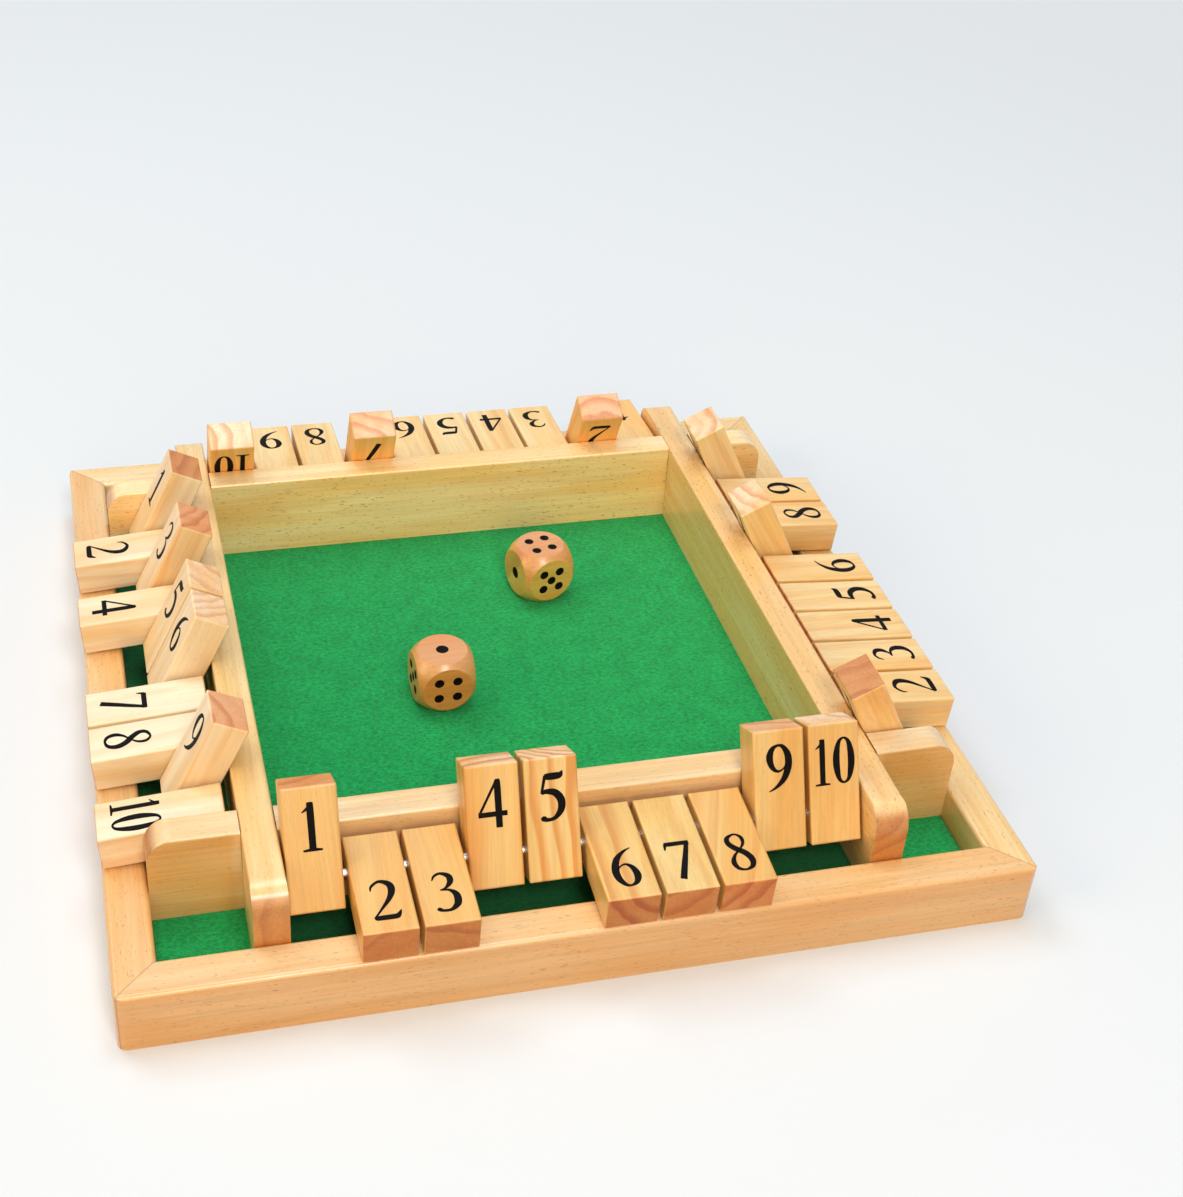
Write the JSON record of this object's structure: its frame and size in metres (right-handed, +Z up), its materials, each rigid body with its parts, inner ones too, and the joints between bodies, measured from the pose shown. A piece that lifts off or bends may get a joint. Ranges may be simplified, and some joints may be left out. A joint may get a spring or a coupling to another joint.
{
  "type": "flip-tile dice board game",
  "caption": "Square wooden table game: four rows of flip-down numbered tiles on steel rods round a felted dice tray, with two pipped dice.",
  "frame": {"origin": "on the table under the centre of the board", "axes": "+X right and +Y back as the front player sees the board, +Z up"},
  "size_m": [0.2808, 0.2808, 0.0579],
  "materials": {
    "rail_wood": "clear-lacquered pine, straight grain, eased edges",
    "wall_wood": "clear-lacquered pine, satin",
    "tile_wood": "clear-lacquered pine with black printed numbers on both faces",
    "plywood": "raw thin plywood",
    "felt": "matted green felt, glued down",
    "rod_steel": "bright drawn steel",
    "pin_steel": "plain steel",
    "die_wood": "glossy lacquered wood with black painted pips"
  },
  "bodies": {
    "board": {"rail_front": "rail_wood", "rail_right": "rail_wood", "rail_back": "rail_wood", "rail_left": "rail_wood", "floor_panel": "plywood", "felt_lining": "felt", "panel_pins": "pin_steel", "inner_wall_front": "wall_wood", "inner_wall_right": "wall_wood", "inner_wall_back": "wall_wood", "inner_wall_left": "wall_wood", "rod_front": "rod_steel", "rod_right": "rod_steel", "rod_back": "rod_steel", "rod_left": "rod_steel"},
    "tile_front_1": {"tile_front_1": "tile_wood"},
    "tile_front_2": {"tile_front_2": "tile_wood"},
    "tile_front_3": {"tile_front_3": "tile_wood"},
    "tile_front_4": {"tile_front_4": "tile_wood"},
    "tile_front_5": {"tile_front_5": "tile_wood"},
    "tile_front_6": {"tile_front_6": "tile_wood"},
    "tile_front_7": {"tile_front_7": "tile_wood"},
    "tile_front_8": {"tile_front_8": "tile_wood"},
    "tile_front_9": {"tile_front_9": "tile_wood"},
    "tile_front_10": {"tile_front_10": "tile_wood"},
    "tile_right_1": {"tile_right_1": "tile_wood"},
    "tile_right_2": {"tile_right_2": "tile_wood"},
    "tile_right_3": {"tile_right_3": "tile_wood"},
    "tile_right_4": {"tile_right_4": "tile_wood"},
    "tile_right_5": {"tile_right_5": "tile_wood"},
    "tile_right_6": {"tile_right_6": "tile_wood"},
    "tile_right_7": {"tile_right_7": "tile_wood"},
    "tile_right_8": {"tile_right_8": "tile_wood"},
    "tile_right_9": {"tile_right_9": "tile_wood"},
    "tile_right_10": {"tile_right_10": "tile_wood"},
    "tile_back_1": {"tile_back_1": "tile_wood"},
    "tile_back_2": {"tile_back_2": "tile_wood"},
    "tile_back_3": {"tile_back_3": "tile_wood"},
    "tile_back_4": {"tile_back_4": "tile_wood"},
    "tile_back_5": {"tile_back_5": "tile_wood"},
    "tile_back_6": {"tile_back_6": "tile_wood"},
    "tile_back_7": {"tile_back_7": "tile_wood"},
    "tile_back_8": {"tile_back_8": "tile_wood"},
    "tile_back_9": {"tile_back_9": "tile_wood"},
    "tile_back_10": {"tile_back_10": "tile_wood"},
    "tile_left_1": {"tile_left_1": "tile_wood"},
    "tile_left_2": {"tile_left_2": "tile_wood"},
    "tile_left_3": {"tile_left_3": "tile_wood"},
    "tile_left_4": {"tile_left_4": "tile_wood"},
    "tile_left_5": {"tile_left_5": "tile_wood"},
    "tile_left_6": {"tile_left_6": "tile_wood"},
    "tile_left_7": {"tile_left_7": "tile_wood"},
    "tile_left_8": {"tile_left_8": "tile_wood"},
    "tile_left_9": {"tile_left_9": "tile_wood"},
    "tile_left_10": {"tile_left_10": "tile_wood"},
    "die_1": {"die_1": "die_wood"},
    "die_2": {"die_2": "die_wood"}
  },
  "joints": [
    {"name": "flip_front_1", "type": "hinge", "parent": "board", "child": "tile_front_1", "pos_m": [-0.0801, -0.11098, 0.0293], "axis": [1, 0, 0], "range_deg": [0, 120.2]},
    {"name": "flip_front_2", "type": "hinge", "parent": "board", "child": "tile_front_2", "pos_m": [-0.0623, -0.11098, 0.0293], "axis": [1, 0, 0], "range_deg": [-120.2, 0]},
    {"name": "flip_front_3", "type": "hinge", "parent": "board", "child": "tile_front_3", "pos_m": [-0.0445, -0.11098, 0.0293], "axis": [1, 0, 0], "range_deg": [-120.2, 0]},
    {"name": "flip_front_4", "type": "hinge", "parent": "board", "child": "tile_front_4", "pos_m": [-0.0267, -0.11098, 0.0293], "axis": [1, 0, 0], "range_deg": [0, 120.2]},
    {"name": "flip_front_5", "type": "hinge", "parent": "board", "child": "tile_front_5", "pos_m": [-0.0089, -0.11098, 0.0293], "axis": [1, 0, 0], "range_deg": [0, 120.2]},
    {"name": "flip_front_6", "type": "hinge", "parent": "board", "child": "tile_front_6", "pos_m": [0.0089, -0.11098, 0.0293], "axis": [1, 0, 0], "range_deg": [-120.2, 0]},
    {"name": "flip_front_7", "type": "hinge", "parent": "board", "child": "tile_front_7", "pos_m": [0.0267, -0.11098, 0.0293], "axis": [1, 0, 0], "range_deg": [-120.2, 0]},
    {"name": "flip_front_8", "type": "hinge", "parent": "board", "child": "tile_front_8", "pos_m": [0.0445, -0.11098, 0.0293], "axis": [1, 0, 0], "range_deg": [-120.2, 0]},
    {"name": "flip_front_9", "type": "hinge", "parent": "board", "child": "tile_front_9", "pos_m": [0.0623, -0.11098, 0.0293], "axis": [1, 0, 0], "range_deg": [0, 120.2]},
    {"name": "flip_front_10", "type": "hinge", "parent": "board", "child": "tile_front_10", "pos_m": [0.0801, -0.11098, 0.0293], "axis": [1, 0, 0], "range_deg": [0, 120.2]},
    {"name": "flip_right_1", "type": "hinge", "parent": "board", "child": "tile_right_1", "pos_m": [0.11098, -0.0801, 0.0293], "axis": [0, 1, 0], "range_deg": [0, 120.2]},
    {"name": "flip_right_2", "type": "hinge", "parent": "board", "child": "tile_right_2", "pos_m": [0.11098, -0.0623, 0.0293], "axis": [0, 1, 0], "range_deg": [-120.2, 0]},
    {"name": "flip_right_3", "type": "hinge", "parent": "board", "child": "tile_right_3", "pos_m": [0.11098, -0.0445, 0.0293], "axis": [0, 1, 0], "range_deg": [-120.2, 0]},
    {"name": "flip_right_4", "type": "hinge", "parent": "board", "child": "tile_right_4", "pos_m": [0.11098, -0.0267, 0.0293], "axis": [0, 1, 0], "range_deg": [-120.2, 0]},
    {"name": "flip_right_5", "type": "hinge", "parent": "board", "child": "tile_right_5", "pos_m": [0.11098, -0.0089, 0.0293], "axis": [0, 1, 0], "range_deg": [-120.2, 0]},
    {"name": "flip_right_6", "type": "hinge", "parent": "board", "child": "tile_right_6", "pos_m": [0.11098, 0.0089, 0.0293], "axis": [0, 1, 0], "range_deg": [-120.2, 0]},
    {"name": "flip_right_7", "type": "hinge", "parent": "board", "child": "tile_right_7", "pos_m": [0.11098, 0.0267, 0.0293], "axis": [0, 1, 0], "range_deg": [0, 120.2]},
    {"name": "flip_right_8", "type": "hinge", "parent": "board", "child": "tile_right_8", "pos_m": [0.11098, 0.0445, 0.0293], "axis": [0, 1, 0], "range_deg": [-120.2, 0]},
    {"name": "flip_right_9", "type": "hinge", "parent": "board", "child": "tile_right_9", "pos_m": [0.11098, 0.0623, 0.0293], "axis": [0, 1, 0], "range_deg": [-120.2, 0]},
    {"name": "flip_right_10", "type": "hinge", "parent": "board", "child": "tile_right_10", "pos_m": [0.11098, 0.0801, 0.0293], "axis": [0, 1, 0], "range_deg": [0, 120.2]},
    {"name": "flip_back_1", "type": "hinge", "parent": "board", "child": "tile_back_1", "pos_m": [0.0801, 0.11098, 0.0293], "axis": [-1, 0, 0], "range_deg": [-120.2, 0]},
    {"name": "flip_back_2", "type": "hinge", "parent": "board", "child": "tile_back_2", "pos_m": [0.0623, 0.11098, 0.0293], "axis": [-1, 0, 0], "range_deg": [0, 120.2]},
    {"name": "flip_back_3", "type": "hinge", "parent": "board", "child": "tile_back_3", "pos_m": [0.0445, 0.11098, 0.0293], "axis": [-1, 0, 0], "range_deg": [-120.2, 0]},
    {"name": "flip_back_4", "type": "hinge", "parent": "board", "child": "tile_back_4", "pos_m": [0.0267, 0.11098, 0.0293], "axis": [-1, 0, 0], "range_deg": [-120.2, 0]},
    {"name": "flip_back_5", "type": "hinge", "parent": "board", "child": "tile_back_5", "pos_m": [0.0089, 0.11098, 0.0293], "axis": [-1, 0, 0], "range_deg": [-120.2, 0]},
    {"name": "flip_back_6", "type": "hinge", "parent": "board", "child": "tile_back_6", "pos_m": [-0.0089, 0.11098, 0.0293], "axis": [-1, 0, 0], "range_deg": [-120.2, 0]},
    {"name": "flip_back_7", "type": "hinge", "parent": "board", "child": "tile_back_7", "pos_m": [-0.0267, 0.11098, 0.0293], "axis": [-1, 0, 0], "range_deg": [0, 120.2]},
    {"name": "flip_back_8", "type": "hinge", "parent": "board", "child": "tile_back_8", "pos_m": [-0.0445, 0.11098, 0.0293], "axis": [-1, 0, 0], "range_deg": [-120.2, 0]},
    {"name": "flip_back_9", "type": "hinge", "parent": "board", "child": "tile_back_9", "pos_m": [-0.0623, 0.11098, 0.0293], "axis": [-1, 0, 0], "range_deg": [-120.2, 0]},
    {"name": "flip_back_10", "type": "hinge", "parent": "board", "child": "tile_back_10", "pos_m": [-0.0801, 0.11098, 0.0293], "axis": [-1, 0, 0], "range_deg": [0, 120.2]},
    {"name": "flip_left_1", "type": "hinge", "parent": "board", "child": "tile_left_1", "pos_m": [-0.11098, 0.0801, 0.0293], "axis": [0, -1, 0], "range_deg": [0, 120.2]},
    {"name": "flip_left_2", "type": "hinge", "parent": "board", "child": "tile_left_2", "pos_m": [-0.11098, 0.0623, 0.0293], "axis": [0, -1, 0], "range_deg": [-120.2, 0]},
    {"name": "flip_left_3", "type": "hinge", "parent": "board", "child": "tile_left_3", "pos_m": [-0.11098, 0.0445, 0.0293], "axis": [0, -1, 0], "range_deg": [0, 120.2]},
    {"name": "flip_left_4", "type": "hinge", "parent": "board", "child": "tile_left_4", "pos_m": [-0.11098, 0.0267, 0.0293], "axis": [0, -1, 0], "range_deg": [-120.2, 0]},
    {"name": "flip_left_5", "type": "hinge", "parent": "board", "child": "tile_left_5", "pos_m": [-0.11098, 0.0089, 0.0293], "axis": [0, -1, 0], "range_deg": [0, 120.2]},
    {"name": "flip_left_6", "type": "hinge", "parent": "board", "child": "tile_left_6", "pos_m": [-0.11098, -0.0089, 0.0293], "axis": [0, -1, 0], "range_deg": [0, 120.2]},
    {"name": "flip_left_7", "type": "hinge", "parent": "board", "child": "tile_left_7", "pos_m": [-0.11098, -0.0267, 0.0293], "axis": [0, -1, 0], "range_deg": [-120.2, 0]},
    {"name": "flip_left_8", "type": "hinge", "parent": "board", "child": "tile_left_8", "pos_m": [-0.11098, -0.0445, 0.0293], "axis": [0, -1, 0], "range_deg": [-120.2, 0]},
    {"name": "flip_left_9", "type": "hinge", "parent": "board", "child": "tile_left_9", "pos_m": [-0.11098, -0.0623, 0.0293], "axis": [0, -1, 0], "range_deg": [0, 120.2]},
    {"name": "flip_left_10", "type": "hinge", "parent": "board", "child": "tile_left_10", "pos_m": [-0.11098, -0.0801, 0.0293], "axis": [0, -1, 0], "range_deg": [-120.2, 0]},
    {"name": "pick_up_die_1", "type": "slide", "parent": "board", "child": "die_1", "axis": [0, 0, 1], "range_m": [0, 0.035]},
    {"name": "pick_up_die_2", "type": "slide", "parent": "board", "child": "die_2", "axis": [0, 0, 1], "range_m": [0, 0.035]}
  ]
}
